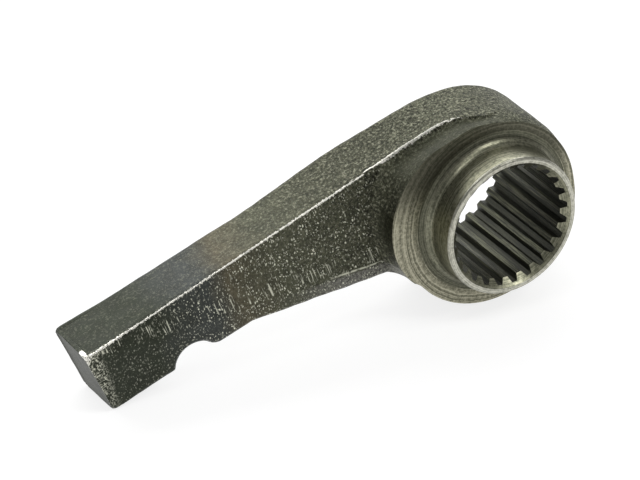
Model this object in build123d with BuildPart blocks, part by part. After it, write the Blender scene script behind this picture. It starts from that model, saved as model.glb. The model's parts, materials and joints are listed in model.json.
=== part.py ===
from build123d import *
import math
import os

# Clutch release arm: one steel forging with a turned hub and a broached, splined bore.
# Millimetres. +Z is up, with the arm standing on its edge, resting on the underside of
# its hub and the lower corner of its tip. The bore runs along Y, with the turned collar
# facing -Y, and the tip points to -X. The origin is the middle of the bore.

# Splined bore, whose teeth stand half a module to each side of the pitch circle
tooth_count = 24
spline_module = 1.0
pressure_angle = 30.0
pitch_radius = spline_module * tooth_count / 2
spline_root_radius = pitch_radius + spline_module / 2
spline_tip_radius = pitch_radius - spline_module / 2
lead_in_step = 0.5
lead_in_radius = spline_root_radius + lead_in_step

# Turned collar on the hub
hub_length = 24.5
collar_length = 7.3
collar_wall = 1.6
collar_radius = spline_root_radius + collar_wall
collar_edge_round = 0.5

# Forged hub, whose outside sits a little off the bore, and the lobe that carries its
# raised face over onto the arm
shoulder_width = 5.05
collar_root_round = 0.475 * shoulder_width
hub_radius = collar_radius + shoulder_width
hub_offset_along = -0.35
hub_offset_up = -0.15
hub_back_round = 1.4
lobe_step = 2.55
lobe_radius = hub_radius - lobe_step
lobe_offset_along = -4.8
lobe_offset_up = 2.6
lobe_root_round = 5.0

# Notch for the end of the release rod, placed along the arm from the bore
notch_position = 63.3
notch_radius = 4.35
notch_depth = 3.2
notch_lip_round = 3.0

# Forged arm, measured along and square to its top edge, whose underside drops towards
# the hub a little way past the notch
arm_reach = 82.9
arm_top = 19.3
top_fall = 0.3
arm_bottom = 4.5
arm_width = 12.4
notch_to_belly = 13.0
belly_start = notch_position - notch_to_belly
belly_angle = 15.4
underside_round = 6.0
front_draft = 5.0
back_draft = 1.5
parting_drop = 6.4
parting_angle = 16.6
long_edge_round = 1.2
tip_edge_round = 1.0

# Reach of the tests that pick out edges and corners
match_tolerance = 0.001
hub_margin = 0.1

# Places that follow from the sizes, with w measured from the bore's middle to the collar
back_w = -hub_length / 2
front_w = hub_length / 2
shoulder_w = front_w - collar_length
arm_middle_w = back_w + arm_width / 2
tip_inset = (arm_top - arm_bottom) * math.tan(math.radians(front_draft))
corner_along = arm_reach - tip_inset + hub_offset_along
corner_up = arm_bottom - hub_offset_up
rest_angle = math.atan2(corner_up, corner_along) + math.asin(
    hub_radius / math.hypot(corner_along, corner_up)
)

# x runs along the arm's top edge from tip to hub, y up across the arm, z out of the collar
arm_plane = Plane(
    origin=(0, 0, 0),
    x_dir=(math.cos(rest_angle), 0, math.sin(rest_angle)),
    z_dir=(0, -1, 0),
)
hub_centre = (hub_offset_along, hub_offset_up)
lobe_centre = (lobe_offset_along, lobe_offset_up)


def along(direction):
    """Turn a direction given in the arm's plane into one of the part's frame."""
    return arm_plane.from_local_coords(Vector(*direction)) - arm_plane.origin


def local_middle(edge):
    """Middle of an edge, given in the arm's plane."""
    return arm_plane.to_local_coords(edge.position_at(0.5))


def flank_point(radius, side):
    """Point on the involute flank of a spline space, at a radius and on the side 1 or -1."""
    base_radius = pitch_radius * math.cos(math.radians(pressure_angle))
    pitch_roll = math.tan(math.radians(pressure_angle)) - math.radians(pressure_angle)
    pressure = math.acos(base_radius / radius)
    half_angle = math.pi / (2 * tooth_count) + pitch_roll - (math.tan(pressure) - pressure)
    return (radius * math.cos(half_angle), side * radius * math.sin(half_angle))


def is_long_edge(edge):
    """Whether an edge runs along the top or underside of the arm, outside the hub."""
    middle = local_middle(edge)
    ends = [arm_plane.to_local_coords(edge.position_at(end)).Z for end in (0, 1)]
    crosses_arm = (ends[0] - arm_middle_w) * (ends[1] - arm_middle_w) < 0
    on_parting = abs(abs(middle.Z - arm_middle_w) - arm_width / 2) < match_tolerance
    outside_hub = math.dist((middle.X, middle.Y), hub_centre) > hub_radius + hub_margin
    at_tip = middle.X < -arm_reach + tip_inset
    return outside_hub and not crosses_arm and not on_parting and not at_tip


def is_collar_edge(edge):
    """Whether an edge is one of the two circles that bound the collar."""
    return edge.geom_type == GeomType.CIRCLE and abs(edge.radius - collar_radius) < match_tolerance


# One space between two teeth of the spline
with BuildSketch() as spline_space:
    middle_radius = (spline_tip_radius + spline_root_radius) / 2
    flank_radii = (spline_tip_radius, middle_radius, spline_root_radius)
    with BuildLine():
        Spline(*[flank_point(radius, 1) for radius in flank_radii])
        RadiusArc(
            flank_point(spline_root_radius, 1),
            flank_point(spline_root_radius, -1),
            spline_root_radius,
        )
        Spline(*[flank_point(radius, -1) for radius in reversed(flank_radii)])
        Polyline(
            flank_point(spline_tip_radius, -1),
            (spline_tip_radius - spline_module, 0),
            flank_point(spline_tip_radius, 1),
        )
    make_face()

# Section of the whole bore
with BuildSketch() as spline_outline:
    Circle(spline_tip_radius)
    with PolarLocations(0, tooth_count):
        add(spline_space.sketch)

# Side view of the forging: the arm from tip to hub, with its underside curving into the hub
with BuildSketch() as side_view:
    with BuildLine():
        Polyline(
            (hub_offset_along, arm_top - top_fall),
            (-arm_reach, arm_top),
            (-arm_reach + tip_inset, arm_bottom),
            (-belly_start, arm_bottom),
            (0, arm_bottom - belly_start * math.tan(math.radians(belly_angle))),
            (hub_offset_along, arm_top - top_fall),
        )
    make_face()
    with Locations(hub_centre):
        Circle(hub_radius)
    crook = vertices().filter_by(lambda v: v.Y < 0 and v.X < hub_offset_along)
    fillet(crook, underside_round)
    with Locations((-notch_position, arm_bottom + notch_depth - notch_radius)):
        Circle(notch_radius, mode=Mode.SUBTRACT)
    notch_lip = vertices().filter_by(
        lambda v: abs(v.Y - arm_bottom) < match_tolerance
        and -notch_position < v.X < -belly_start - match_tolerance
    )
    fillet(notch_lip, notch_lip_round)

# Forged arm: the side view through the arm's width, between sides that lean in above
# and below the parting line
with BuildPart() as forged_arm:
    with BuildSketch(arm_plane.offset(arm_middle_w)):
        add(side_view.sketch)
        with Locations(hub_centre):
            Rectangle(arm_reach, arm_reach, align=(Align.MIN, Align.CENTER), mode=Mode.SUBTRACT)
    extrude(amount=arm_width, both=True)
    parting_slope = math.radians(parting_angle)
    section_plane = Plane(
        origin=arm_plane.from_local_coords(Vector(0, -parting_drop, arm_middle_w)),
        x_dir=along((0, 0, 1)),
        z_dir=along((-math.cos(parting_slope), math.sin(parting_slope), 0)),
    )
    draft_height = arm_top + parting_drop
    front_lean = arm_width / 2 - draft_height * math.tan(math.radians(front_draft))
    back_lean = -arm_width / 2 + draft_height * math.tan(math.radians(back_draft))
    with BuildSketch(section_plane):
        Polygon(
            (arm_width / 2, 0),
            (front_lean, draft_height),
            (back_lean, draft_height),
            (-arm_width / 2, 0),
            (back_lean, -draft_height),
            (front_lean, -draft_height),
            align=None,
        )
    extrude(amount=2 * arm_reach, mode=Mode.INTERSECT)
    fillet(edges().filter_by(is_long_edge), long_edge_round)
    tip_face = faces().sort_by(Axis((0, 0, 0), along((1, 0, 0))))[0]
    fillet(tip_face.edges(), tip_edge_round)

# Lobe: a short post beside the bore with a wide concave foot on the arm's side, kept
# within the side view
with BuildPart() as hub_lobe:
    foot_w = arm_middle_w + arm_width / 2 - draft_height * math.tan(math.radians(front_draft))
    foot_radius = lobe_radius + lobe_root_round
    lobe_plane = Plane(
        origin=arm_plane.from_local_coords(Vector(*lobe_centre, 0)),
        x_dir=along((-1, 0, 0)),
        z_dir=along((0, 1, 0)),
    )
    with BuildSketch(lobe_plane):
        with BuildLine():
            CenterArc((foot_radius, foot_w + lobe_root_round), lobe_root_round, 180, 90)
            Polyline(
                (foot_radius, foot_w),
                (foot_radius, arm_middle_w),
                (0, arm_middle_w),
                (0, shoulder_w),
                (lobe_radius, shoulder_w),
                (lobe_radius, foot_w + lobe_root_round),
            )
        make_face()
    revolve(axis=Axis(lobe_plane.origin, lobe_plane.y_dir))
    with BuildSketch(arm_plane.offset(arm_middle_w)):
        add(side_view.sketch)
    extrude(amount=shoulder_w - arm_middle_w, mode=Mode.INTERSECT)

# Drum of the hub, from the back face to the shoulder
with BuildPart() as hub_drum:
    with BuildSketch(arm_plane.offset(back_w)):
        with Locations(hub_centre):
            Circle(hub_radius)
    extrude(amount=shoulder_w - back_w)
    fillet(faces().sort_by(Axis.Y)[-1].edges(), hub_back_round)

with BuildPart() as release_arm:
    add(hub_drum.part)
    add(forged_arm.part)
    add(hub_lobe.part)

    # Turned collar with a rounded rim and a wide concave root
    with BuildSketch(arm_plane.offset(shoulder_w)):
        Circle(collar_radius)
    extrude(amount=collar_length)
    collar_edges = edges().filter_by(is_collar_edge).sort_by(Axis.Y)
    fillet(collar_edges[0], collar_edge_round)
    fillet(collar_edges[-1], collar_root_round)

    # Broached bore, and a lead-in cone at each mouth
    with BuildSketch(arm_plane.offset(back_w)):
        add(spline_outline.sketch)
    extrude(amount=hub_length, mode=Mode.SUBTRACT)
    lead_in_depth = lead_in_radius - spline_tip_radius
    with BuildSketch(Plane.XY):
        for mouth, side in ((-front_w, 1), (-back_w, -1)):
            Polygon(
                (0, mouth),
                (lead_in_radius, mouth),
                (spline_tip_radius, mouth + side * lead_in_depth),
                (0, mouth + side * lead_in_depth),
                align=None,
            )
    revolve(axis=Axis.Y, mode=Mode.SUBTRACT)

release_arm.part.label = "release_arm"
os.makedirs("parts", exist_ok=True)
export_step(release_arm.part, "parts/release_arm.step")
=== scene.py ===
"""Looks of a forged clutch release arm: its rough skin, its machined hub and the studio."""

import bisect
import json
import logging
import math
from dataclasses import dataclass, field
from enum import Enum

import bmesh
import bpy
from mathutils import Matrix, Vector, noise

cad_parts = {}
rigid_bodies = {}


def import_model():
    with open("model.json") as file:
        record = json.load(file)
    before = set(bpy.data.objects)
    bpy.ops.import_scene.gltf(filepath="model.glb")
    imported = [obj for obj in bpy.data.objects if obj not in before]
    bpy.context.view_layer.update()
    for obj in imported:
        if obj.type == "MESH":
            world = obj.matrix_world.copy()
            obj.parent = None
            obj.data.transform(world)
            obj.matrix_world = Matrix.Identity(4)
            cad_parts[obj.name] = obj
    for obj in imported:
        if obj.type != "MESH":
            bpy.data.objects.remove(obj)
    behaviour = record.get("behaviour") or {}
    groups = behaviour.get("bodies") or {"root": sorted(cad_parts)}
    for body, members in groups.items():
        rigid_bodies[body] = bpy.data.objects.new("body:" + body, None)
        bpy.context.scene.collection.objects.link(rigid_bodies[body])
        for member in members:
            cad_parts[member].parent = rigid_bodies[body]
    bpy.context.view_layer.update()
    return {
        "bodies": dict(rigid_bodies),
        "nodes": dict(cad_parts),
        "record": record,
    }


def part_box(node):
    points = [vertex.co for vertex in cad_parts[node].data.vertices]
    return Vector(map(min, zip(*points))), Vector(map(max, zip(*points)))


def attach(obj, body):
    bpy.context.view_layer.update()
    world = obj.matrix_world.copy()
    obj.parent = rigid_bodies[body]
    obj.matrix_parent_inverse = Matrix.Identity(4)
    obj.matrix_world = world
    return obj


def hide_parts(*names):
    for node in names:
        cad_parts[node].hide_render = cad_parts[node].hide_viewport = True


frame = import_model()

MM = 0.001
NEXT_TO_NOTHING = 1e-9

# How far a point may lie off a machined face and count as on it, and where the neck on
# top of the hub starts along the arm
FACE_SLACK = 0.004 * MM
NECK_START = -19.0 * MM

# Where something starts and where it ends. A share rises over a span from 0 to 1, also
# where the end is the lower of the two.
Span = tuple[float, float]
Tone = tuple[float, float, float, float]
Socket = bpy.types.NodeSocket
Mesh = bmesh.types.BMesh
Vert = bmesh.types.BMVert
Face = bmesh.types.BMFace

log = logging.getLogger("release_arm")


class Skin(Enum):
    """Finishes of the arm's surface, in the order of its material slots."""

    FORGED = 0
    TURNED = 1
    FACED = 2
    RIM = 3
    BROACHED = 4


def forged_faces(bm: Mesh) -> list[Face]:
    """Return the faces that keep their forged skin."""
    return [face for face in bm.faces if face.material_index == Skin.FORGED.value]


def forged_verts(bm: Mesh, edges_too: bool = False) -> list[Vert]:
    """Find the points of the forged skin.

    Args:
        bm: Mesh of the arm.
        edges_too: Whether the points on the border of a machined face count as well.

    Returns:
        The points.
    """
    test = any if edges_too else all
    forged = Skin.FORGED.value
    return [v for v in bm.verts if test(f.material_index == forged for f in v.link_faces)]


def reach(face: Face, axis: int) -> Span:
    """Return a face's lowest and highest place along an axis."""
    places = [vert.co[axis] for vert in face.verts]
    return min(places), max(places)


def smooth_rise(value: float, span: Span) -> float:
    """Turn a value into a smooth rise from 0 at the span's start to 1 at its end.

    Args:
        value: What the rise follows.
        span: Its values where the rise starts and ends.

    Returns:
        The rise, from 0 to 1.
    """
    start, end = span
    share = min(1.0, max(0.0, (value - start) / (end - start)))
    return share * share * (3 - 2 * share)


def height_at(line: list[tuple[float, float]], place: float) -> float:
    """Read a line's height at a place.

    Args:
        line: Places in rising order, each with its height.
        place: Where to read it.

    Returns:
        The height, taken evenly between the two nearest places.
    """
    after = min(max(1, bisect.bisect(line, (place,))), len(line) - 1)
    (low, bottom), (high, top) = line[after - 1], line[after]
    share = min(1.0, max(0.0, (place - low) / max(high - low, NEXT_TO_NOTHING)))
    return bottom + (top - bottom) * share


class Shader:
    """Lays nodes into one material and links them."""

    def __init__(self, name: str) -> None:
        """Start an empty material.

        Args:
            name: Name of the material.
        """
        self.material = bpy.data.materials.new(name)
        self.material.use_nodes = True
        self.tree = self.material.node_tree
        self.tree.nodes.clear()

    def node(self, kind: str, inputs: dict | None = None, **settings: object) -> bpy.types.Node:
        """Add a node.

        Args:
            kind: Node type without its ShaderNode prefix.
            inputs: Values or sockets for its inputs, by name or number.
            **settings: Properties of the node.

        Returns:
            The new node.
        """
        made = self.tree.nodes.new("ShaderNode" + kind)
        for name, value in settings.items():
            setattr(made, name, value)
        for name, value in (inputs or {}).items():
            if isinstance(value, Socket):
                self.tree.links.new(value, made.inputs[name])
            else:
                made.inputs[name].default_value = value
        return made

    def math(self, operation: str, *values: object) -> Socket:
        """Join numbers or sockets by one operation and return its result."""
        return self.node("Math", dict(enumerate(values)), operation=operation).outputs[0]

    def times(self, product: object, *others: object) -> Socket:
        """Multiply numbers or sockets.

        Args:
            product: The first of them.
            *others: What it is multiplied by.

        Returns:
            The product's socket.
        """
        for other in others:
            product = self.math("MULTIPLY", product, other)
        return product

    def between(self, share: Socket, low: float, high: float) -> Socket:
        """Turn a share into a number from low at 0 to high at 1."""
        return self.math("MULTIPLY_ADD", share, high - low, low)

    def rise(self, value: object, span: Span, kind: str = "SMOOTHSTEP") -> Socket:
        """Turn a value into a rise from 0 at the span's start to 1 at its end.

        Args:
            value: Number or socket.
            span: Its values where the rise starts and ends.
            kind: Blender's name for the form of the rise.

        Returns:
            The rise's socket.
        """
        start, end = span
        inputs = {"Value": value, "From Min": start, "From Max": end}
        return self.node("MapRange", inputs, interpolation_type=kind).outputs[0]

    def mix(self, share: object, first: object, second: object) -> Socket:
        """Blend from a first colour, at a share of 0, to a second at 1."""
        made = self.node("Mix", {0: share, 6: first, 7: second}, data_type="RGBA")
        return made.outputs[2]

    def noise(self, place: object, scale: float, **inputs: float) -> Socket:
        """Give a noise between 0 and 1, with scale waves in each unit of the place."""
        return self.node("TexNoise", {"Vector": place, "Scale": scale, **inputs}).outputs[0]

    def attribute(self, name: str) -> Socket:
        """Read a number that the mesh stores at its points."""
        return self.node("Attribute", attribute_name=name).outputs["Fac"]

    def stretch(self, place: Socket, scale: tuple, lean: float = 0.0) -> Socket:
        """Scale each direction of a place, then turn it about Y."""
        inputs = {"Vector": place, "Rotation": (0.0, lean, 0.0), "Scale": scale}
        return self.node("Mapping", inputs).outputs[0]

    def place(self, lean: float = 0.0) -> Socket:
        """Give the place on the object in millimetres, turned about Y by the lean."""
        return self.stretch(self.node("TexCoord").outputs["Object"], (1 / MM,) * 3, lean)

    def part(self, vector: Socket, axis: int) -> Socket:
        """Take the part of a vector along an axis."""
        return self.node("SeparateXYZ", {0: vector}).outputs[axis]

    def radius(self, place: Socket) -> Socket:
        """Measure how far a place lies from the bore's axis.

        Args:
            place: The place's socket.

        Returns:
            The distance's socket.
        """
        parts = self.node("SeparateXYZ", {0: place}).outputs
        flat = self.node("CombineXYZ", {0: parts[0], 2: parts[2]}).outputs[0]
        return self.node("VectorMath", {0: flat}, operation="LENGTH").outputs["Value"]

    def bump(self, height: object, depth: float) -> Socket:
        """Turn a height into a surface normal, where 1 stands for depth in metres."""
        inputs = {"Height": height, "Distance": depth, "Strength": 1.0}
        return self.node("Bump", inputs).outputs[0]

    def finish(self, **inputs: object) -> bpy.types.Material:
        """Close the material with its surface.

        Args:
            **inputs: Values or sockets of the surface, named with _ for a space.

        Returns:
            The finished material.
        """
        named = {name.replace("_", " "): value for name, value in inputs.items()}
        surface = self.node("BsdfPrincipled", named)
        self.node("OutputMaterial", {"Surface": surface.outputs[0]})
        return self.material


@dataclass(frozen=True)
class Layout:
    """Where the arm's features are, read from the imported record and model, in metres."""

    node: str
    body: str
    slot: str
    lowest: Vector
    highest: Vector
    tooth_radius: float
    collar_radius: float
    shoulder_y: float
    lean: float

    @classmethod
    def read(cls) -> "Layout":
        """Read the layout from the frame.

        Returns:
            The layout of the arm.
        """
        record = frame["record"]
        mounts = {mount["name"]: mount for mount in record["mounts"]}
        part = record["subparts"][0]
        lowest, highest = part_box(part["node"])
        notch_axis = mounts["rod_notch"]["axis"]
        return cls(
            node=part["node"],
            body=next(iter(frame["bodies"])),
            slot=part["material_slot"],
            lowest=lowest,
            highest=highest,
            tooth_radius=mounts["spline_bore"]["dims"]["r_mm"] * MM,
            collar_radius=mounts["collar"]["dims"]["r_mm"] * MM,
            shoulder_y=mounts["shoulder"]["pos_m"][1],
            lean=math.atan2(notch_axis[0], -notch_axis[2]),
        )

    def along_arm(self, point: Vector) -> Vector:
        """Turn a point so that x runs along the arm's top edge and z stands square to it."""
        return Matrix.Rotation(self.lean, 3, "Y") @ point

    def from_arm(self, move: Vector) -> Vector:
        """Turn a move given along and square to the arm's top edge into the arm's own."""
        return Matrix.Rotation(-self.lean, 3, "Y") @ move


@dataclass(frozen=True)
class ForgedFinish:
    """Dark scale over hot-forged steel: pebbled and flecked, with worn ridges that carry a
    painted highlight.

    Lengths are in millimetres, along the arm from the bore and across it. A span on a noise
    or an attribute is in its own values, and a share is of the whole.
    """

    lean: float
    tip_tone: Tone = (0.025, 0.031, 0.018, 1.0)
    blue_tone: Tone = (0.050, 0.056, 0.052, 1.0)
    brown_tone: Tone = (0.110, 0.096, 0.060, 1.0)
    arm_tone: Tone = (0.092, 0.095, 0.060, 1.0)
    hub_tone: Tone = (0.125, 0.130, 0.086, 1.0)
    under_tone: Tone = (0.25, 0.245, 0.225, 1.0)
    pit_tone: Tone = (0.014, 0.015, 0.009, 1.0)
    # Painted shade for the recess at the foot of the hub
    recess_shade_tone: Tone = (0.022, 0.024, 0.011, 1.0)
    pale_tone: Tone = (0.42, 0.42, 0.31, 1.0)
    fleck_tone: Tone = (0.86, 0.86, 0.70, 1.0)
    # Bare steel on the ridges, partly a painted highlight
    wear_and_highlight_tone: Tone = (0.97, 0.95, 0.86, 1.0)

    # How pebbled the skin is: from its smooth tip to the rough hub, and less in the recess
    side_span: Span = (0.6, 0.85)
    rough_span: Span = (-66.0, -6.0)
    rough_shares: Span = (0.22, 1.02)
    recess_rough: float = 0.7
    grain_scale: float = 1.9
    fine_scale: float = 4.5
    fine_height: float = 0.5
    mark_height: float = 0.4
    bump_height: float = 0.2
    pit_span: Span = (0.51, 0.40)
    pale_span: Span = (0.53, 0.64)
    side_pale: float = 0.4

    # How strongly each tone covers the one below it
    under_cover: float = 0.7
    pit_cover: float = 0.92
    pale_cover: float = 0.75
    # Painted shade in the recess
    recess_shade_cover: float = 0.55
    mark_cover: float = 0.9
    shade_cover: float = 0.35

    # Shine of the scale and of the bare steel in its marks
    metal: float = 0.7
    dull_shares: Span = (0.44, 0.54)
    mark_polish: float = 0.8
    polish_drop: float = 0.2

    # Stretch of the arm that takes the tones, and the unevenness of their borders
    tone_stretch: Span = (-80.0, 10.0)
    border_scale: float = 0.11
    border_drift: float = 9.0
    border_slant: float = -0.12
    mottle_scale: float = 0.35
    mottle_span: Span = (0.62, 0.32)

    # Parting line of the forging, and the lighter facet below it beside the hub
    parting_drop: float = 6.4
    parting_angle: float = math.radians(16.6)
    facet_start: Span = (-44.0, -30.0)
    facet_end: Span = (-12.0, -18.0)
    facet_depth: Span = (-0.1, -0.9)

    # Flecks: round ones and worm-shaped ones, in patches between the tip and the hub
    swirl_scale: float = 1.4
    swirl_size: float = 1.1
    dots_per_mm: tuple = (2.0, 2.0, 1.5)
    dot_size: float = 0.29
    dot_edge: float = 0.09
    worms_per_mm: tuple = (2.9, 2.9, 1.7)
    worm_span: Span = (0.60, 0.66)
    worm_share: float = 0.65
    fleck_patch_scale: float = 0.3
    fleck_patch_span: Span = (0.34, 0.58)
    fleck_start: Span = (-74.0, -54.0)
    fleck_end: Span = (-12.0, -24.0)
    fleck_shares: Span = (0.28, 1.0)
    top_shares: Span = (0.08, 1.0)
    recess_flecks: float = 0.3

    # Strokes that trimming left above the parting line, and a painted highlight along the seam on
    # the line itself
    stroke_height: float = 3.1
    stroke_reach: Span = (1.5, 1.2)
    stroke_drift: float = 2.4
    stroke_drift_scale: float = 0.8
    strokes_per_mm: tuple = (2.7, 0.5, 0.14)
    stroke_lean: float = math.radians(-8)
    stroke_span: Span = (0.55, 0.61)
    stroke_patch_scale: float = 0.16
    stroke_patch_span: Span = (0.42, 0.50)
    seam_highlight_reach: Span = (0.26, 0.10)
    seam_highlight_start: Span = (-35.0, -30.0)
    seam_highlight_gap_scale: float = 1.3
    seam_highlight_gap_span: Span = (0.38, 0.5)
    stroke_share: float = 0.75

    # Grit on the tip's edges, and chips of scale left on the worn ridges and their painted
    # highlight
    grit_scale: float = 2.6
    grit_span: Span = (0.50, 0.57)
    grit_share: float = 0.8
    chip_scale: float = 2.3
    chip_weight: float = 2.4
    wear_and_highlight_span: Span = (1.76, 1.92)

    def build(self) -> bpy.types.Material:
        """Build the material.

        Returns:
            The finished material.
        """
        s = Shader("forged_scale")
        arm = s.place(self.lean)
        facing = s.part(s.node("TexCoord").outputs["Normal"], 1)
        side = s.rise(s.math("ABSOLUTE", facing), self.side_span)
        recess = s.attribute("recess")
        rough = s.between(s.rise(s.part(arm, 0), self.rough_span), *self.rough_shares)
        rough = s.times(rough, s.between(recess, 1.0, self.recess_rough))
        grain = s.noise(arm, self.grain_scale, Detail=4.0, Roughness=0.75)
        marks = self.marks(s, arm, side, recess)
        wear_and_highlight = self.worn_and_highlighted_ridge(s, arm)

        tone = self.plain_tone(s, arm)
        pits = s.times(s.rise(grain, self.pit_span), rough)
        tone = s.mix(s.times(pits, self.pit_cover), tone, self.pit_tone)
        pale = s.times(s.rise(grain, self.pale_span), rough, s.between(side, 1.0, self.side_pale))
        tone = s.mix(s.times(pale, self.pale_cover), tone, self.pale_tone)
        # Painted shade in the recess
        tone = s.mix(s.times(recess, self.recess_shade_cover), tone, self.recess_shade_tone)
        tone = s.mix(s.times(marks, self.mark_cover), tone, self.fleck_tone)
        # Worn ridges: bare steel with a painted highlight
        tone = s.mix(wear_and_highlight, tone, self.wear_and_highlight_tone)

        fine = s.noise(arm, self.fine_scale, Detail=2.0, Roughness=0.6)
        height = s.times(s.math("ADD", grain, s.times(fine, self.fine_height)), rough)
        height = s.math("ADD", height, s.times(marks, self.mark_height))
        polish = s.math("MAXIMUM", wear_and_highlight, s.times(marks, self.mark_polish))
        dull = s.between(rough, *self.dull_shares)
        return s.finish(
            Base_Color=tone,
            Metallic=self.metal,
            Roughness=s.math("SUBTRACT", dull, s.times(polish, self.polish_drop)),
            Normal=s.bump(height, self.bump_height * MM),
        )

    def plain_tone(self, s: Shader, arm: Socket) -> Socket:
        """Colour the scale along the arm, from its smooth tip over the heat tint to the hub.

        Args:
            s: Shader of the material.
            arm: Place along and across the arm.

        Returns:
            The colour's socket.
        """
        along = s.part(arm, 0)
        drift = s.times(s.noise(arm, self.border_scale, Detail=2.0), self.border_drift)
        drifted = s.math("ADD", along, drift)
        drifted = s.math("ADD", drifted, s.times(s.part(arm, 2), self.border_slant))
        ramp = s.node("ValToRGB", {0: s.rise(drifted, self.tone_stretch, "LINEAR")})
        stops = (
            (0.0, self.tip_tone),
            (0.16, self.tip_tone),
            (0.25, self.blue_tone),
            (0.30, self.blue_tone),
            (0.36, self.brown_tone),
            (0.45, self.arm_tone),
            (0.74, self.arm_tone),
            (0.92, self.hub_tone),
        )
        band = ramp.color_ramp.elements
        for index, (position, color) in enumerate(stops):
            stop = band[index] if index < len(band) else band.new(position)
            stop.position = position
            stop.color = color
        mottle = s.noise(arm, self.mottle_scale, Detail=3.0, Roughness=0.6)
        shade = s.times(s.rise(mottle, self.mottle_span), self.shade_cover)
        tone = s.mix(shade, ramp.outputs[0], self.pit_tone)
        facet = s.times(
            s.rise(along, self.facet_start),
            s.rise(along, self.facet_end),
            s.rise(self.above_parting(s, arm), self.facet_depth),
        )
        return s.mix(s.times(facet, self.under_cover), tone, self.under_tone)

    def marks(self, s: Shader, arm: Socket, side: Socket, recess: Socket) -> Socket:
        """Gather every mark that bares the steel under the scale, and the painted highlight on
        the parting line.

        Args:
            s: Shader of the material.
            arm: Place along and across the arm.
            side: How far the skin faces sideways, from 0 to 1.
            recess: How deep the place lies in the recess, from 0 to 1.

        Returns:
            How much of a mark shows, from 0 to 1.
        """
        flecks = s.times(self.flecks(s, arm, side), s.between(recess, 1.0, self.recess_flecks))
        strokes = s.times(self.trim_strokes_and_seam_highlight(s, arm), side)
        return s.math("MAXIMUM", s.math("MAXIMUM", flecks, strokes), self.tip_grit(s, arm))

    def dots(self, s: Shader, arm: Socket) -> Socket:
        """Scatter crisp marks of many sizes over the skin.

        Args:
            s: Shader of the material.
            arm: Place along and across the arm.

        Returns:
            How much of a mark shows, from 0 to 1.
        """
        swirl = s.node("TexNoise", {"Vector": arm, "Scale": self.swirl_scale, "Detail": 1.0})
        bent = s.node(
            "VectorMath",
            {
                0: swirl.outputs["Color"],
                1: (self.swirl_size,) * 3,
                2: s.stretch(arm, self.dots_per_mm),
            },
            operation="MULTIPLY_ADD",
        ).outputs[0]
        cells = s.node("TexVoronoi", {"Vector": bent, "Scale": 1.0, "Randomness": 1.0}).outputs
        chance = s.part(cells["Color"], 0)
        shrunk = s.math("MULTIPLY_ADD", chance, self.dot_size, cells["Distance"])
        return s.rise(shrunk, (self.dot_size + self.dot_edge, self.dot_size))

    def flecks(self, s: Shader, arm: Socket, side: Socket) -> Socket:
        """Bright flecks in the scale, thick on the arm's sides and thin on its top.

        Args:
            s: Shader of the material.
            arm: Place along and across the arm.
            side: How far the skin faces sideways, from 0 to 1.

        Returns:
            How much of a fleck shows, from 0 to 1.
        """
        along = s.part(arm, 0)
        worms = s.noise(s.stretch(arm, self.worms_per_mm), 1.0, Detail=2.0, Roughness=0.6)
        worms = s.times(s.rise(worms, self.worm_span), self.worm_share)
        shapes = s.math("MAXIMUM", self.dots(s, arm), worms)
        patch = s.noise(arm, self.fleck_patch_scale, Detail=2.0)
        thick = s.times(
            s.rise(along, self.fleck_start),
            s.rise(along, self.fleck_end),
            s.rise(patch, self.fleck_patch_span),
        )
        share = s.between(thick, *self.fleck_shares)
        return s.times(shapes, share, s.between(side, *self.top_shares))

    def above_parting(self, s: Shader, arm: Socket) -> Socket:
        """Measure how far a place lies above the parting line.

        Args:
            s: Shader of the material.
            arm: Place along and across the arm.

        Returns:
            The height above the line, in millimetres.
        """
        across = (math.sin(self.parting_angle), 0.0, math.cos(self.parting_angle))
        height = s.node("VectorMath", {0: arm, 1: across}, operation="DOT_PRODUCT")
        drop = self.parting_drop * math.cos(self.parting_angle)
        return s.math("ADD", height.outputs["Value"], drop)

    def trim_strokes_and_seam_highlight(self, s: Shader, arm: Socket) -> Socket:
        """Short strokes that trimming the flash left across the parting line, and a painted
        highlight along the line.

        Args:
            s: Shader of the material.
            arm: Place along and across the arm.

        Returns:
            How much of a stroke shows, from 0 to 1.
        """
        above = self.above_parting(s, arm)
        drift = s.times(s.noise(arm, self.stroke_drift_scale, Detail=2.0), self.stroke_drift)
        off_band = s.math("SUBTRACT", s.math("ADD", above, drift), self.stroke_height)
        band = s.rise(s.math("ABSOLUTE", off_band), self.stroke_reach)
        drawn = s.stretch(arm, self.strokes_per_mm, self.stroke_lean)
        lines = s.rise(s.noise(drawn, 1.0, Detail=2.0, Roughness=0.6), self.stroke_span)
        patch = s.noise(arm, self.stroke_patch_scale, Detail=1.0)
        strokes = s.times(band, lines, s.rise(patch, self.stroke_patch_span))
        gaps = s.noise(arm, self.seam_highlight_gap_scale, Detail=2.0)
        # Painted highlight along the seam of the parting line, near the hub
        seam_highlight = s.times(
            s.rise(s.math("ABSOLUTE", above), self.seam_highlight_reach),
            s.rise(s.part(arm, 0), self.seam_highlight_start),
            s.rise(gaps, self.seam_highlight_gap_span),
        )
        return s.times(s.math("MAXIMUM", strokes, seam_highlight), self.stroke_share)

    def tip_grit(self, s: Shader, arm: Socket) -> Socket:
        """Coarse bright grit along the edges of the tip, where the scale broke off."""
        grains = s.noise(arm, self.grit_scale, Detail=3.0, Roughness=0.7)
        return s.times(s.rise(grains, self.grit_span), s.attribute("battered"), self.grit_share)

    def worn_and_highlighted_ridge(self, s: Shader, arm: Socket) -> Socket:
        """Bare steel with a painted highlight along the ridges, broken where the scale still
        holds.

        Args:
            s: Shader of the material.
            arm: Place along and across the arm.

        Returns:
            How bare the steel is, from 0 to 1.
        """
        chips = s.noise(arm, self.chip_scale, Detail=3.0, Roughness=0.75)
        wear_and_highlight = s.math("ADD", s.attribute("wear_and_highlight"), s.times(chips, self.chip_weight))
        return s.rise(wear_and_highlight, self.wear_and_highlight_span)


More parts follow.
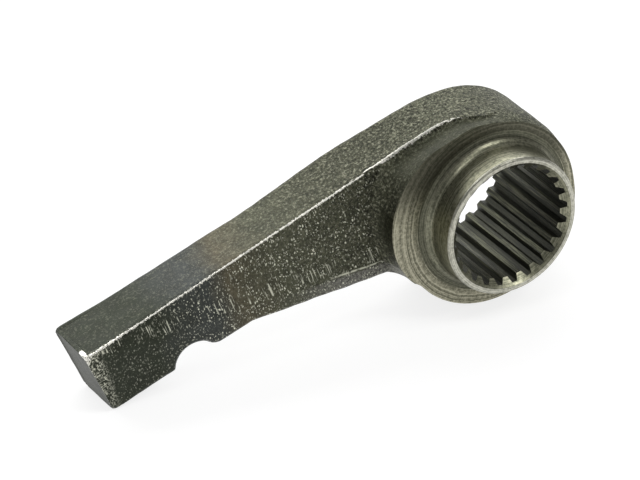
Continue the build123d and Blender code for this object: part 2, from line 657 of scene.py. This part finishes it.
@dataclass(frozen=True)
class TurnedFinish:
    """Steel cut on a lathe, with fine rings round the bore."""

    name: str
    light_tone: Tone
    dark_tone: Tone
    roughness: float
    ring_depth: float
    ring_scale: float = 3.2
    ring_drift: float = 0.5
    drift_scale: float = 0.35
    patch_scale: float = 1.6
    patch_share: float = 0.35
    light_span: Span = (0.41, 0.59)
    metal: float = 0.85
    # Colour of painted shade, where a finish has any
    painted_shade_tone: Tone = (0.030, 0.031, 0.020, 1.0)

    def build(self) -> bpy.types.Material:
        """Build the material.

        Returns:
            The finished material.
        """
        s = Shader(self.name)
        place = s.place()
        drift = s.times(s.noise(place, self.drift_scale, Detail=2.0), self.ring_drift)
        drifted = s.math("ADD", s.radius(place), drift)
        rings = s.node("CombineXYZ", {0: drifted, 1: s.part(place, 1)}).outputs[0]
        fine = s.noise(rings, self.ring_scale, Detail=3.0, Roughness=0.75)
        patches = s.noise(place, self.patch_scale, Detail=3.0, Roughness=0.7)
        share = s.times(fine, 1 - self.patch_share)
        share = s.math("MULTIPLY_ADD", patches, self.patch_share, share)
        tone = s.mix(s.rise(share, self.light_span), self.dark_tone, self.light_tone)
        # Painted shade over the turned steel
        return s.finish(
            Base_Color=s.mix(self.painted_shade(s, place), tone, self.painted_shade_tone),
            Metallic=self.metal,
            Roughness=self.roughness,
            Normal=s.bump(fine, self.ring_depth),
        )

    def painted_shade(self, s: Shader, place: Socket) -> object:
        """Tell how far painted shade darkens the steel at a place, from 0 to 1."""
        return 0.0


@dataclass(frozen=True)
class CollarFinish(TurnedFinish):
    """Turned collar with painted shade in its concave root."""

    root_span: Span = (14.2, 15.4)
    root_shade_share: float = 0.66

    def painted_shade(self, s: Shader, place: Socket) -> object:
        """Paint shade on the root beyond the collar's own radius."""
        return s.times(s.rise(s.radius(place), self.root_span), self.root_shade_share)


@dataclass(frozen=True)
class ShoulderFinish(TurnedFinish):
    """Faced shoulder, lighter below and with painted shade towards its top."""

    shade_height_span: Span = (2.0, 11.0)
    shade_height_share: float = 0.75

    def painted_shade(self, s: Shader, place: Socket) -> object:
        """Paint shade on the shoulder, darker towards its top."""
        return s.times(s.rise(s.part(place, 2), self.shade_height_span), self.shade_height_share)


@dataclass(frozen=True)
class BroachedFinish:
    """Steel cut by a broach, with streaks along the bore and lighter tooth tips."""

    tooth_radius: float
    light_tone: Tone = (0.090, 0.093, 0.054, 1.0)
    dark_tone: Tone = (0.014, 0.015, 0.009, 1.0)
    streaks_per_mm: tuple = (5.5, 0.14, 5.5)
    streak_span: Span = (0.44, 0.60)
    streak_depth: float = 0.05 * MM
    tip_reach: Span = (0.45, 0.05)
    tip_shares: Span = (0.3, 1.0)
    metal: float = 0.7
    roughness: float = 0.40

    def build(self) -> bpy.types.Material:
        """Build the material.

        Returns:
            The finished material.
        """
        s = Shader("broached_steel")
        place = s.place()
        drawn = s.stretch(place, self.streaks_per_mm)
        streaks = s.noise(drawn, 1.0, Detail=3.0, Roughness=0.7)
        flank, land = (self.tooth_radius / MM + step for step in self.tip_reach)
        tips = s.rise(s.radius(place), (flank, land))
        share = s.times(s.rise(streaks, self.streak_span), s.between(tips, *self.tip_shares))
        return s.finish(
            Base_Color=s.mix(share, self.dark_tone, self.light_tone),
            Metallic=self.metal,
            Roughness=self.roughness,
            Normal=s.bump(streaks, self.streak_depth),
        )


@dataclass
class WearAndPaintedLight:
    """Marks where the forging is worn with a painted highlight, battered, or recessed with
    painted shade, for its finish to read.
    """

    layout: Layout
    layers: tuple = ("wear_and_highlight", "battered", "recess")
    fold_middle: float = 0.5
    fold_slack: float = 0.32
    ridge_height: float = 17.5 * MM
    ridge_end: float = NECK_START
    under_slope: float = -0.3
    under_share: float = 0.45
    corner_end: float = -80.5 * MM
    corner_slope: float = 0.35
    corner_width: float = 2.5 * MM
    tip_span: Span = (-79.3 * MM, -81.2 * MM)
    tip_side: Span = (1.6 * MM, 0.4 * MM)
    tip_top: Span = (19.4 * MM, 18.4 * MM)
    recess_end: float = 5.0 * MM
    recess_slope: float = 0.2
    recess_side: Span = (0.1 * MM, -1.6 * MM)
    recess_height: Span = (1.0 * MM, 9.0 * MM)
    crest_shares: Span = (1.05, 0.35)
    crest_span: Span = (-2.0 * MM, 5.0 * MM)

    def add_layers(self, bm: Mesh) -> None:
        """Give each point room for the marks, before any point is held on to."""
        for layer in self.layers:
            bm.verts.layers.float.new(layer)

    def mark(self, bm: Mesh, crest: list[Vert]) -> None:
        """Store how far each point is worn with a painted highlight, battered, or recessed with
        painted shade.

        Args:
            bm: Mesh of the arm.
            crest: Points of the ridge over the hub.
        """
        wear_and_highlight, battered, recess = (bm.verts.layers.float[layer] for layer in self.layers)
        for vert in forged_verts(bm):
            place = self.layout.along_arm(vert.co)
            normal = self.layout.along_arm(vert.normal)
            vert[wear_and_highlight] = self.wear_at(place, normal)
            at_tip = smooth_rise(place.x, self.tip_span) * smooth_rise(place.y, self.tip_side)
            vert[battered] = at_tip * smooth_rise(place.z, self.tip_top)
            # Painted shade in the recess at the foot of the hub
            if place.x < self.recess_end and normal.y < self.recess_slope:
                vert[recess] = smooth_rise(place.y, self.recess_side)
                vert[recess] *= smooth_rise(place.z, self.recess_height)
        # The ridge over the hub takes wear and a painted highlight, fading along the hub
        most, least = self.crest_shares
        for vert in crest:
            place = self.layout.along_arm(vert.co)
            vert[wear_and_highlight] = most + (least - most) * smooth_rise(place.x, self.crest_span)

    def wear_at(self, place: Vector, normal: Vector) -> float:
        """Tell how worn the skin is, with its painted highlight, which is most where it folds
        from side to top.

        Args:
            place: Place along and across the arm.
            normal: Outward direction there, turned like the place.

        Returns:
            The wear with its painted highlight, from 0 to 1.
        """
        # Bare steel and a painted highlight on the tip's corner and where the skin folds from
        # side to top
        fold = max(0.0, 1 - abs(normal.y**2 - self.fold_middle) / self.fold_slack)
        faces_corner = normal.x < -self.corner_slope and normal.z > self.corner_slope
        if faces_corner and place.x < self.corner_end and place.y < self.corner_width:
            return 1.0
        if normal.y < 0 and place.z > self.ridge_height and place.x < self.ridge_end:
            return fold
        if normal.y < 0 and normal.z < self.under_slope:
            return self.under_share * fold
        return 0.0


@dataclass
class ArmEdges:
    """Fuller edges than the solid's rounds, and a crowned back towards the hub.

    A slope is a part of the outward direction: 1 faces along an axis, 0 square to it.
    """

    layout: Layout
    edge_fill: float = 0.24 * MM
    edge_span: Span = (-8.0 * MM, -22.0 * MM)
    edge_slope: Span = (-0.4, -0.1)
    tip_fill: float = 0.34 * MM
    tip_span: Span = (-70.0 * MM, -80.0 * MM)
    round_slope: float = 0.2
    round_middle: float = 0.29
    crown_rise: float = 0.7 * MM
    back_fill: float = 0.7 * MM
    crown_start: Span = (-46.0 * MM, -18.0 * MM)
    crown_end: Span = (4.0 * MM, -7.0 * MM)
    crown_side: Span = (2.5 * MM, 11.5 * MM)
    crown_height: Span = (6.0 * MM, 18.0 * MM)

    def fill(self, bm: Mesh) -> None:
        """Move the points of the forged skin out.

        Args:
            bm: Mesh of the arm.
        """
        for vert in forged_verts(bm):
            place = self.layout.along_arm(vert.co)
            normal = self.layout.along_arm(vert.normal)
            move = normal * self.edge_rise(place, normal)
            crown = smooth_rise(place.x, self.crown_start) * smooth_rise(place.x, self.crown_end)
            crown *= smooth_rise(place.y, self.crown_side)
            crown *= smooth_rise(place.z, self.crown_height)
            move += Vector((0, self.back_fill, self.crown_rise)) * crown
            vert.co += self.layout.from_arm(move)

    def edge_rise(self, place: Vector, normal: Vector) -> float:
        """Tell how far a rounded edge is filled.

        Args:
            place: Place along and across the arm.
            normal: Outward direction there, turned like the place.

        Returns:
            The fill, which is most in the middle of the round and 0 on a flat.
        """
        tip = smooth_rise(place.x, self.tip_span)
        if abs(normal.y) <= self.round_slope and (normal.x >= -self.round_slope or not tip):
            return 0.0
        fill = self.edge_fill * smooth_rise(place.x, self.edge_span)
        fill *= smooth_rise(normal.z, self.edge_slope)
        flat = max(abs(part) for part in normal)
        return (fill + self.tip_fill * tip) * min(1.0, (1 - flat) / self.round_middle)


@dataclass
class HubNeck:
    """Hollow on top of the hub, between the ridge and the shoulder.

    Places are along the arm from the bore. The hollow's section runs across the arm, from
    0 on the ridge to 1 on the shoulder's lip.
    """

    layout: Layout
    start: float = NECK_START
    full: float = -12.0 * MM
    fade: float = 1.0 * MM
    end: float = 13.0 * MM
    floor_height: float = 8.0 * MM
    slope: float = 0.2
    depth: float = 1.5 * MM
    far_share: float = 0.5
    far_span: Span = (-9.0 * MM, 4.0 * MM)
    section_height: float = 3.08
    section_power: float = 1.5
    painted_shade_span: Span = (0.02, 0.2)
    lip_rise: float = 0.35 * MM
    lip_start: Span = (-13.0 * MM, -7.0 * MM)
    lip_end: Span = (6.0 * MM, 1.0 * MM)
    ridge_y: float = 2.15 * MM
    ridge_slack: float = 0.01 * MM
    ridge_share: float = 0.6
    ridge_step: float = 0.45 * MM
    step_span: Span = (-9.0 * MM, -17.0 * MM)
    bend: float = 0.045 / MM
    bend_start: float = -4.0 * MM
    bend_fade: float = 4.0 * MM

    def crest(self, bm: Mesh) -> list[Vert]:
        """Find the points of the ridge where it runs over the top of the hub.

        Args:
            bm: Mesh of the arm.

        Returns:
            The points.
        """
        lowest = self.ridge_share * self.layout.highest.z
        found = []
        for vert in forged_verts(bm):
            place = self.layout.along_arm(vert.co)
            on_ridge = abs(place.y - self.ridge_y) < self.ridge_slack
            if on_ridge and self.start < place.x < self.end and place.z > max(place.x, lowest):
                found.append(vert)
        return found

    def shape(self, bm: Mesh, crest: list[Vert]) -> None:
        """Hollow the top of the hub, store its painted shade, and bend the ridge towards the
        shoulder.

        Args:
            bm: Mesh of the arm.
            crest: Points of the ridge over the hub.
        """
        layout = self.layout
        recess = bm.verts.layers.float["recess"]
        verts = forged_verts(bm, edges_too=True)
        lip = [layout.along_arm(vert.co) for vert in verts if self.on_lip(vert.co)]
        lip_line = sorted((place.x, place.z) for place in lip if place.z > 0)
        ridge = [layout.along_arm(vert.co) for vert in crest]
        ridge_line = sorted((place.x, place.z) for place in ridge)
        for vert in verts:
            place = layout.along_arm(vert.co)
            normal = layout.along_arm(vert.normal)
            if not self.start < place.x < self.end or place.z < self.floor_height:
                continue
            if normal.z < self.slope and not self.on_lip(place):
                continue
            across = (self.ridge_y - place.y) / (self.ridge_y - layout.shoulder_y)
            move = Vector((0, self.sideways(place, across), 0))
            if across > 0:
                across = min(across, 1.0)
                share = smooth_rise(place.x, (self.start, self.full))
                share *= smooth_rise(place.x, (self.end, self.fade))
                # Painted shade across the hollow, from near the ridge to the lip
                vert[recess] = share * smooth_rise(across, self.painted_shade_span)
                top = height_at(ridge_line, place.x)
                edge = height_at(lip_line, place.x) + self.raised_lip(place)
                if self.on_lip(place):
                    move.z = edge - place.z
                else:
                    wanted = top + (edge - top) * across**self.section_power
                    wanted -= self.hollow(place, across)
                    move.z = (wanted - place.z) * share
            vert.co += layout.from_arm(move)
        bm.normal_update()

    def on_lip(self, place: Vector) -> bool:
        """Tell whether a place lies on the shoulder's edge."""
        return abs(place.y - self.layout.shoulder_y) < FACE_SLACK

    def raised_lip(self, place: Vector) -> float:
        """Tell how far the shoulder's edge stands up at a place."""
        rise = self.lip_rise * smooth_rise(place.x, self.lip_start)
        return rise * smooth_rise(place.x, self.lip_end)

    def hollow(self, place: Vector, across: float) -> float:
        """Tell how deep the hollow is.

        Args:
            place: Place along and across the arm.
            across: Share of the way from the ridge to the lip.

        Returns:
            The depth, in metres.
        """
        depth = self.depth * (1 - self.far_share * smooth_rise(place.x, self.far_span))
        section = math.sqrt(across) * (1 - across) ** self.section_power
        return depth * self.section_height * section

    def sideways(self, place: Vector, across: float) -> float:
        """Tell how far a place moves sideways, most of all on the ridge.

        Args:
            place: Place along and across the arm.
            across: Share of the way from the ridge to the lip.

        Returns:
            The move along Y, which is below 0 towards the shoulder.
        """
        bend = max(0.0, place.x - self.bend_start) ** 2 * self.bend
        bend += self.ridge_step * smooth_rise(place.x, self.step_span)
        share = max(0.0, 1 - abs(across))
        return -bend * share * smooth_rise(place.x, (self.end, self.bend_fade))


@dataclass
class HubWall:
    """Draft that draws the hub's wall in towards the shoulder, away from the arm."""

    layout: Layout
    run: float = 4.2 * MM
    fall: float = 0.55 * MM
    slope: float = 0.3
    along_span: Span = (2.0 * MM, 9.0 * MM)
    height_span: Span = (-12.0 * MM, -3.0 * MM)

    def draw_in(self, bm: Mesh) -> None:
        """Move the wall's points towards the bore.

        Args:
            bm: Mesh of the arm.
        """
        start = self.layout.shoulder_y + self.run
        for vert in forged_verts(bm, edges_too=True):
            place = self.layout.along_arm(vert.co)
            outward = Vector((vert.co.x, 0, vert.co.z)).normalized()
            share = (start - vert.co.y) / self.run
            if share > 0 and outward.dot(vert.normal) > self.slope:
                fall = self.fall * share**2 * smooth_rise(place.x, self.along_span)
                vert.co -= outward * fall * smooth_rise(place.z, self.height_span)


@dataclass
class ReleaseArm:
    """The forging with its turned hub and broached bore, as one closed skin."""

    layout: Layout
    weld: float = 0.001 * MM
    flat_angle: float = math.radians(0.3)
    cell: float = 0.45 * MM
    cut_slack: float = 0.002 * MM
    soften_passes: int = 4
    soften_share: float = 0.5
    wave_heights: tuple = (0.16 * MM, 0.07 * MM)
    wave_lengths: tuple = (11.0 * MM, 2.6 * MM)
    corner_angle: float = math.radians(30)
    square_to_bore: float = 0.9999
    rim_width: float = 0.7 * MM
    lead_in_slope: float = math.sqrt(0.5)
    lead_in_slack: float = 0.1
    lead_in_depth: float = 1.55 * MM
    lead_in_radius: float = 13.05 * MM

    def build(self) -> bpy.types.Object:
        """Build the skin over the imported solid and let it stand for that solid.

        Returns:
            The skin's object.
        """
        bm = bmesh.new()
        bm.from_mesh(frame["nodes"][self.layout.node].data)
        bmesh.ops.remove_doubles(bm, verts=bm.verts, dist=self.weld)
        bm.normal_update()
        self.mark_finishes(bm)
        self.flatten(bm)
        self.square_teeth(bm)
        for axis in range(3):
            self.slice_evenly(bm, axis)
        self.shape(bm)
        bmesh.ops.triangulate(bm, faces=[face for face in bm.faces if len(face.verts) > 4])
        self.mark_corners(bm)
        mesh = bpy.data.meshes.new("release_arm_skin")
        bm.to_mesh(mesh)
        bm.free()
        skin = bpy.data.objects.new("release_arm_skin", mesh)
        bpy.context.scene.collection.objects.link(skin)
        for material in self.finishes():
            mesh.materials.append(material)
        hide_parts(self.layout.node)
        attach(skin, self.layout.body)
        return skin

    def shape(self, bm: Mesh) -> None:
        """Give the forged skin its fuller forms, its wear, its painted highlight and shade, and
        its slow waves.

        Args:
            bm: Mesh of the arm.
        """
        wear_and_light = WearAndPaintedLight(self.layout)
        neck = HubNeck(self.layout)
        wear_and_light.add_layers(bm)
        crest = neck.crest(bm)
        self.soften(bm)
        wear_and_light.mark(bm, crest)
        ArmEdges(self.layout).fill(bm)
        neck.shape(bm, crest)
        HubWall(self.layout).draw_in(bm)
        self.ripple(bm)

    def skin_at(self, centre: Vector, normal: Vector) -> Skin:
        """Tell which finish a face has.

        Args:
            centre: Middle of the face.
            normal: Its outward direction.

        Returns:
            The finish there.
        """
        place = self.layout
        radius = math.hypot(centre.x, centre.z)
        if abs(normal.y) > self.square_to_bore:
            if abs(centre.y - place.lowest.y) < FACE_SLACK:
                return Skin.RIM
            if abs(centre.y - place.shoulder_y) < FACE_SLACK:
                return Skin.FACED
            if abs(centre.y - place.highest.y) < FACE_SLACK:
                return Skin.FACED
        if radius < place.collar_radius - self.rim_width:
            if abs(abs(normal.y) - self.lead_in_slope) > self.lead_in_slack:
                return Skin.BROACHED
            return Skin.TURNED if centre.y < 0 else Skin.FACED
        if centre.y < place.lowest.y + self.rim_width:
            return Skin.RIM
        if centre.y < place.shoulder_y:
            return Skin.TURNED
        return Skin.FORGED

    def mark_finishes(self, bm: Mesh) -> None:
        """Give each face the slot of its finish."""
        for face in bm.faces:
            face.material_index = self.skin_at(face.calc_center_median(), face.normal).value

    def flatten(self, bm: Mesh) -> None:
        """Dissolve the edges inside flat faces.

        Args:
            bm: Mesh of the arm.
        """
        bmesh.ops.dissolve_limit(
            bm,
            angle_limit=self.flat_angle,
            verts=bm.verts,
            edges=bm.edges,
            delimit={"MATERIAL"},
        )

    def square_teeth(self, bm: Mesh) -> None:
        """Run the teeth out to the back face, square, where the solid has a lead-in cone.

        Args:
            bm: Mesh of the arm.
        """
        back = self.layout.highest.y
        for vert in bm.verts:
            radius = math.hypot(vert.co.x, vert.co.z)
            if vert.co.y > back - self.lead_in_depth and radius < self.lead_in_radius:
                vert.co.y = back
        bm.normal_update()

    def slice_evenly(self, bm: Mesh, axis: int) -> None:
        """Cut the forged faces by even planes square to one axis.

        Args:
            bm: Mesh of the arm.
            axis: Number of the axis.
        """
        start = self.layout.lowest[axis]
        direction = Vector((0, 0, 0))
        direction[axis] = 1
        waiting = sorted(forged_faces(bm), key=lambda face: reach(face, axis)[0], reverse=True)
        reached = []
        for cut in range(1, int((self.layout.highest[axis] - start) / self.cell) + 1):
            point = start + cut * self.cell
            while waiting and reach(waiting[-1], axis)[0] < point:
                reached.append(waiting.pop())
            crossed = [face for face in reached if reach(face, axis)[1] > point]
            edges = dict.fromkeys(edge for face in crossed for edge in face.edges)
            verts = dict.fromkeys(vert for face in crossed for vert in face.verts)
            pieces = bmesh.ops.bisect_plane(
                bm,
                geom=[*verts, *edges, *crossed],
                dist=self.cut_slack,
                plane_co=direction * point,
                plane_no=direction,
            )["geom"]
            faces = [piece for piece in pieces if isinstance(piece, Face)]
            reached = [face for face in faces if reach(face, axis)[1] > point]

    def soften(self, bm: Mesh) -> None:
        """Round the forged creases a little and leave the machined faces as they are.

        Args:
            bm: Mesh of the arm.
        """
        loose = forged_verts(bm)
        for _ in range(self.soften_passes):
            bmesh.ops.smooth_vert(
                bm,
                verts=loose,
                factor=self.soften_share,
                use_axis_x=True,
                use_axis_y=True,
                use_axis_z=True,
            )
        bm.normal_update()

    def ripple(self, bm: Mesh) -> None:
        """Move the forged skin in and out by slow waves, as hot metal leaves the die.

        Args:
            bm: Mesh of the arm.
        """
        bm.normal_update()
        for vert in forged_verts(bm):
            for height, length in zip(self.wave_heights, self.wave_lengths):
                wave = noise.noise(vert.co / length)
                vert.co += vert.normal * (wave * height)
        bm.normal_update()

    def mark_corners(self, bm: Mesh) -> None:
        """Shade the skin smooth, apart from its sharp corners.

        Args:
            bm: Mesh of the arm.
        """
        for face in bm.faces:
            face.smooth = True
        for edge in bm.edges:
            if len(edge.link_faces) == 2:
                edge.smooth = edge.calc_face_angle() < self.corner_angle

    def finishes(self) -> list[bpy.types.Material]:
        """Build the finishes in the order of the slots.

        Returns:
            The materials.
        """
        return [
            ForgedFinish(self.layout.lean).build(),
            CollarFinish(
                name="turned_collar",
                light_tone=(0.37, 0.365, 0.265, 1.0),
                dark_tone=(0.120, 0.123, 0.084, 1.0),
                roughness=0.33,
                ring_depth=0.012 * MM,
            ).build(),
            ShoulderFinish(
                name="faced_shoulder",
                light_tone=(0.46, 0.44, 0.33, 1.0),
                dark_tone=(0.13, 0.128, 0.088, 1.0),
                roughness=0.34,
                ring_depth=0.05 * MM,
                ring_scale=2.6,
            ).build(),
            TurnedFinish(
                name="turned_rim",
                light_tone=(0.62, 0.61, 0.52, 1.0),
                dark_tone=(0.26, 0.26, 0.21, 1.0),
                roughness=0.32,
                ring_depth=0.01 * MM,
            ).build(),
            BroachedFinish(self.layout.tooth_radius).build(),
        ]


@dataclass(frozen=True)
class Lamp:
    """Soft lamp that faces the arm, placed from the arm's middle, in metres and watts."""

    name: str
    place: tuple[float, float, float]
    width: float
    height: float
    power: float

    def hang(self, aim: Vector) -> None:
        """Hang the lamp.

        Args:
            aim: The arm's middle.
        """
        data = bpy.data.lights.new(self.name, "AREA")
        data.shape = "RECTANGLE"
        data.size = self.width
        data.size_y = self.height
        data.energy = self.power
        lamp = bpy.data.objects.new(self.name, data)
        lamp.location = aim + Vector(self.place)
        lamp.rotation_euler = Vector(self.place).to_track_quat("Z", "Y").to_euler()
        bpy.context.scene.collection.objects.link(lamp)


@dataclass
class Studio:
    """Pale floor, soft lamps and the camera."""

    layout: Layout
    floor_size: float = 6.0
    floor_tone: Tone = (0.3, 0.3, 0.3, 1.0)
    floor_glow: float = 0.8
    sky_tone: Tone = (1.0, 1.0, 1.0, 1.0)
    sky_strength: float = 0.3
    lamps: tuple = (
        Lamp("back", (0.1, 1.0, 0.85), 2.2, 1.1, 17),
        Lamp("above", (-0.2, -0.25, 1.1), 0.9, 0.25, 2.5),
        Lamp("edge", (0.42, -0.5, 0.75), 0.35, 0.25, 2.0),
    )
    lens: float = 299.8
    distance: float = 1.0
    clip: Span = (0.1, 50.0)
    azimuth: float = math.radians(-28.8)
    elevation: float = math.radians(30.4)
    roll: float = math.radians(3.0)
    aim: Vector = field(default_factory=lambda: Vector((-31.93, 4.91, -0.58)) * MM)

    def build(self) -> None:
        """Build the floor, the lamps and the camera."""
        self.lay_floor()
        self.light()
        self.place_camera()
        bpy.context.scene.view_settings.view_transform = "Standard"

    def lay_floor(self) -> None:
        """Lay a pale floor under the arm."""
        bm = bmesh.new()
        bmesh.ops.create_grid(bm, x_segments=1, y_segments=1, size=self.floor_size)
        bmesh.ops.translate(bm, verts=bm.verts, vec=(0, 0, self.layout.lowest.z))
        mesh = bpy.data.meshes.new("floor")
        bm.to_mesh(mesh)
        bm.free()
        floor = bpy.data.objects.new("floor", mesh)
        bpy.context.scene.collection.objects.link(floor)
        mesh.materials.append(self.floor_finish())

    def floor_finish(self) -> bpy.types.Material:
        """Build a matt floor that looks white to the camera and in reflections.

        Returns:
            The floor's material.
        """
        s = Shader("floor")
        rays = s.node("LightPath").outputs
        seen = s.math("MAXIMUM", rays["Is Camera Ray"], rays["Is Glossy Ray"])
        seen = s.math("MAXIMUM", seen, rays["Is Transmission Ray"])
        surface = s.node("BsdfDiffuse", {"Color": self.floor_tone})
        glow = s.node("Emission", {"Strength": s.times(seen, self.floor_glow)})
        both = s.node("AddShader", {0: surface.outputs[0], 1: glow.outputs[0]})
        s.node("OutputMaterial", {"Surface": both.outputs[0]})
        return s.material

    def light(self) -> None:
        """Light the world and hang the lamps."""
        world = bpy.data.worlds.new("studio")
        world.use_nodes = True
        sky = world.node_tree.nodes["Background"].inputs
        sky["Color"].default_value = self.sky_tone
        sky["Strength"].default_value = self.sky_strength
        bpy.context.scene.world = world
        for lamp in self.lamps:
            lamp.hang(self.aim)

    def place_camera(self) -> None:
        """Stand the camera where the photograph was taken."""
        back = Vector((
            math.sin(self.azimuth) * math.cos(self.elevation),
            -math.cos(self.azimuth) * math.cos(self.elevation),
            math.sin(self.elevation),
        ))
        data = bpy.data.cameras.new("camera")
        data.lens = self.lens
        data.clip_start, data.clip_end = self.clip
        camera = bpy.data.objects.new("camera", data)
        turn = back.to_track_quat("Z", "Y").to_matrix() @ Matrix.Rotation(-self.roll, 3, "Z")
        camera.matrix_world = Matrix.Translation(self.aim + back * self.distance) @ turn.to_4x4()
        bpy.context.scene.collection.objects.link(camera)
        bpy.context.scene.camera = camera


def main() -> None:
    """Build the arm and the studio."""
    logging.basicConfig(level=logging.INFO)
    layout = Layout.read()
    skin = ReleaseArm(layout).build()
    log.info("%s: %d faces", skin.name, len(skin.data.polygons))
    Studio(layout).build()


if __name__ == "__main__":
    main()
